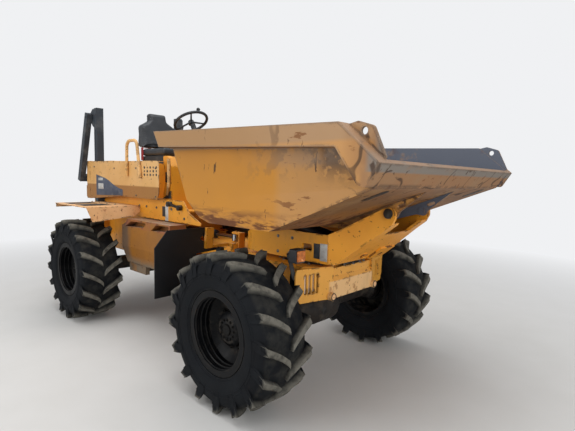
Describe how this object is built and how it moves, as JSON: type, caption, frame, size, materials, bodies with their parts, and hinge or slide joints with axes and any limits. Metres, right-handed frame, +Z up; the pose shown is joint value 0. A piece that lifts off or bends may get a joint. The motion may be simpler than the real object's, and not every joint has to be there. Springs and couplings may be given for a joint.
{
  "type": "site dumper",
  "caption": "Articulated four-wheel site dumper with a swivelling front skip, open driver's seat, folded roll hoop, engine bay behind the seat and slotted lamp guards.",
  "frame": {"origin": "on the ground, midway along and across the whole machine as parked", "axes": "+X forward towards the skip's lip, +Y to the driver's left, +Z up"},
  "size_m": [4.4834, 2.154, 2.35],
  "materials": {
    "paint": "worn yellow-orange paint with rust at the edges",
    "black_paint": "satin black paint",
    "grey_paint": "dark grey paint",
    "rim_paint": "dusty off-white paint",
    "greased_steel": "greasy, dusty casting",
    "engine": "plain casting",
    "rusty_steel": "surface rust",
    "chrome_rod": "polished",
    "tyre_rubber": "dusty rubber",
    "seat_vinyl": "worn black vinyl",
    "black_plastic": "matte",
    "amber_lens": "moulded amber",
    "lamp_lens": "clear moulded"
  },
  "bodies": {
    "rear_frame": {"rear_chassis": "paint", "rear_axle": "greased_steel", "step_boxes": "paint", "mudguards": "paint", "side_panels": "paint", "rear_cowl": "paint", "rear_grille": "black_paint", "engine_block": "engine", "seat_base": "black_paint", "footwell": "paint", "seat_frame": "black_plastic", "seat_cushion": "seat_vinyl", "seat_back": "seat_vinyl", "steering_column": "black_plastic", "steering_wheel": "black_plastic", "handrails": "paint", "lock_bar": "rusty_steel", "rear_bumper": "paint", "roll_posts": "grey_paint"},
    "front_frame": {"front_chassis": "paint", "front_axle": "greased_steel", "front_beam": "paint", "headlamps": "lamp_lens", "side_lamps": "black_plastic", "side_lenses": "amber_lens", "wheel_guards": "black_paint", "guard_posts": "paint", "slew_ring_lower": "greased_steel"},
    "bonnet_lid": {"bonnet": "paint"},
    "roll_hoop": {"roll_hoop": "grey_paint"},
    "carrier": {"carrier_frame": "paint", "slew_ring_upper": "greased_steel"},
    "skip": {"skip_shell": "paint", "skip_underframe": "paint"},
    "tip_barrel": {"tip_barrel": "black_paint"},
    "tip_rod": {"tip_rod": "chrome_rod"},
    "steer_barrel_right": {"steer_barrel_right": "black_paint"},
    "steer_rod_right": {"steer_rod_right": "chrome_rod"},
    "steer_barrel_left": {"steer_barrel_left": "black_paint"},
    "steer_rod_left": {"steer_rod_left": "chrome_rod"},
    "wheel_front_right": {"tyre_front_right": "tyre_rubber", "rim_front_right": "rim_paint"},
    "wheel_front_left": {"tyre_front_left": "tyre_rubber", "rim_front_left": "rim_paint"},
    "wheel_rear_right": {"tyre_rear_right": "tyre_rubber", "rim_rear_right": "rim_paint"},
    "wheel_rear_left": {"tyre_rear_left": "tyre_rubber", "rim_rear_left": "rim_paint"}
  },
  "joints": [
    {"name": "steer", "type": "hinge", "parent": "rear_frame", "child": "front_frame", "pos_m": [-0.26832, 0, 0.785], "axis": [0, 0, 1], "range_deg": [-33, 33]},
    {"name": "slew", "type": "hinge", "parent": "front_frame", "child": "carrier", "pos_m": [1.12168, 0, 0.948], "axis": [0, 0, 1], "range_deg": [-90, 90]},
    {"name": "tip", "type": "hinge", "parent": "carrier", "child": "skip", "pos_m": [1.87168, 0, 1.355], "axis": [0, 1, 0], "range_deg": [0, 55]},
    {"name": "bonnet_lift", "type": "hinge", "parent": "rear_frame", "child": "bonnet_lid", "pos_m": [-1.59332, 0, 1.721], "axis": [0, 1, 0], "range_deg": [0, 60]},
    {"name": "hoop_fold", "type": "hinge", "parent": "rear_frame", "child": "roll_hoop", "pos_m": [-1.95832, 0, 2.25], "axis": [0, 1, 0], "range_deg": [0, 162]},
    {"name": "roll_front_right", "type": "hinge", "parent": "front_frame", "child": "wheel_front_right", "pos_m": [1.07168, -0.874, 0.5375], "axis": [0, 1, 0], "continuous": true},
    {"name": "roll_front_left", "type": "hinge", "parent": "front_frame", "child": "wheel_front_left", "pos_m": [1.07168, 0.874, 0.5375], "axis": [0, 1, 0], "continuous": true},
    {"name": "roll_rear_right", "type": "hinge", "parent": "rear_frame", "child": "wheel_rear_right", "pos_m": [-1.55232, -0.874, 0.5375], "axis": [0, 1, 0], "continuous": true},
    {"name": "roll_rear_left", "type": "hinge", "parent": "rear_frame", "child": "wheel_rear_left", "pos_m": [-1.55232, 0.874, 0.5375], "axis": [0, 1, 0], "continuous": true},
    {"name": "steer_ram_swing_right", "type": "hinge", "parent": "rear_frame", "child": "steer_barrel_right", "pos_m": [-0.45332, -0.25, 1.02], "axis": [0, 0, 1], "range_deg": [-24.55, 24.55]},
    {"name": "steer_ram_stroke_right", "type": "slide", "parent": "steer_barrel_right", "child": "steer_rod_right", "axis": [0.9996, 0.0267, 0], "range_m": [-0.1398, 0.1398]},
    {"name": "steer_ram_swing_left", "type": "hinge", "parent": "rear_frame", "child": "steer_barrel_left", "pos_m": [-0.45332, 0.25, 1.02], "axis": [0, 0, 1], "range_deg": [-24.64, 24.64]},
    {"name": "steer_ram_stroke_left", "type": "slide", "parent": "steer_barrel_left", "child": "steer_rod_left", "axis": [0.9996, -0.0267, 0], "range_m": [-0.1389, 0.1389]},
    {"name": "tip_ram_swing", "type": "hinge", "parent": "carrier", "child": "tip_barrel", "pos_m": [1.46668, 0, 1.038], "axis": [0, 1, 0], "range_deg": [0, 60.88]},
    {"name": "tip_ram_stroke", "type": "slide", "parent": "tip_barrel", "child": "tip_rod", "axis": [-0.9774, 0, 0.2115], "range_m": [0, 0.4527]}
  ],
  "couplings": [
    {"joint": "steer_ram_swing_right", "follows": "steer", "ratio": 0.74409},
    {"joint": "steer_ram_stroke_right", "follows": "steer", "m_per_rad": 0.24274},
    {"joint": "steer_ram_swing_left", "follows": "steer", "ratio": 0.74663},
    {"joint": "steer_ram_stroke_left", "follows": "steer", "m_per_rad": -0.24117},
    {"joint": "tip_ram_swing", "follows": "tip", "ratio": 1.1069},
    {"joint": "tip_ram_stroke", "follows": "tip", "m_per_rad": 0.47159}
  ]
}
